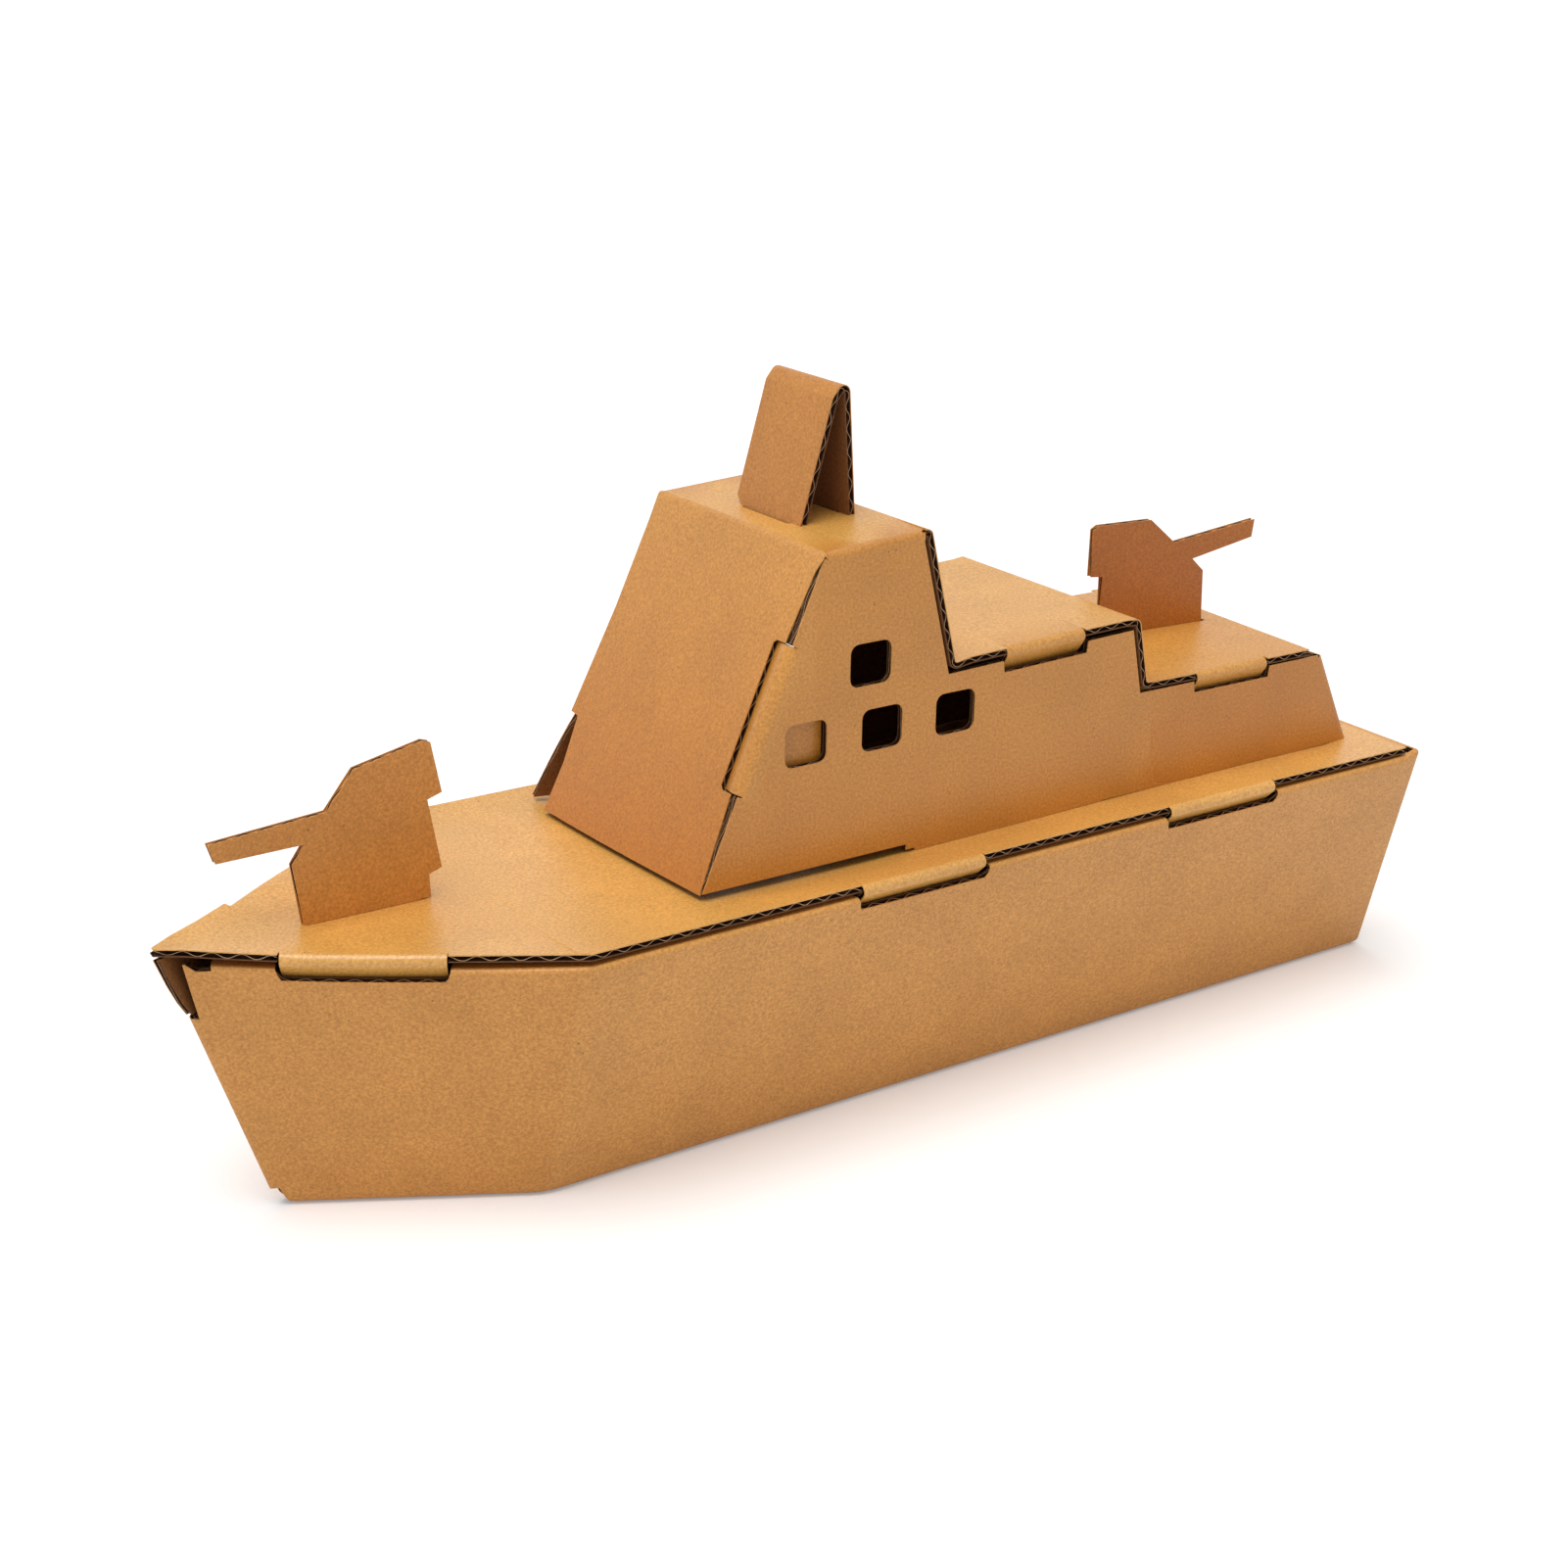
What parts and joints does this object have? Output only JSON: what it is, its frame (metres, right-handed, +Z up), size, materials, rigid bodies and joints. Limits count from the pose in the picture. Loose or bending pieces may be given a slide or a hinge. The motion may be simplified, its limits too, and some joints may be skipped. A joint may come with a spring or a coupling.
{
  "type": "cardboard toy ship",
  "caption": "Toy warship cut and folded from corrugated board: flared hull with a raked bow, flat deck locked by tucked tabs, stepped deckhouse with windows, folded mast and flat guns.",
  "frame": {"origin": "middle of the ship's overall length and width, on the ground under the hull's flat bottom", "axes": "+X towards the bow, +Y to port, +Z up"},
  "size_m": [0.392, 0.1144, 0.1999],
  "materials": {
    "hull_board": "matt kraft liner",
    "deck_board": "matt kraft liner",
    "house_board": "matt kraft liner",
    "mast_board": "matt kraft liner",
    "gun_board": "matt kraft liner"
  },
  "bodies": {
    "root": {"hull_box": "hull_board", "deck_sheet": "deck_board", "deckhouse": "house_board", "mast": "mast_board", "fore_gun": "gun_board", "aft_gun": "gun_board"}
  },
  "joints": []
}
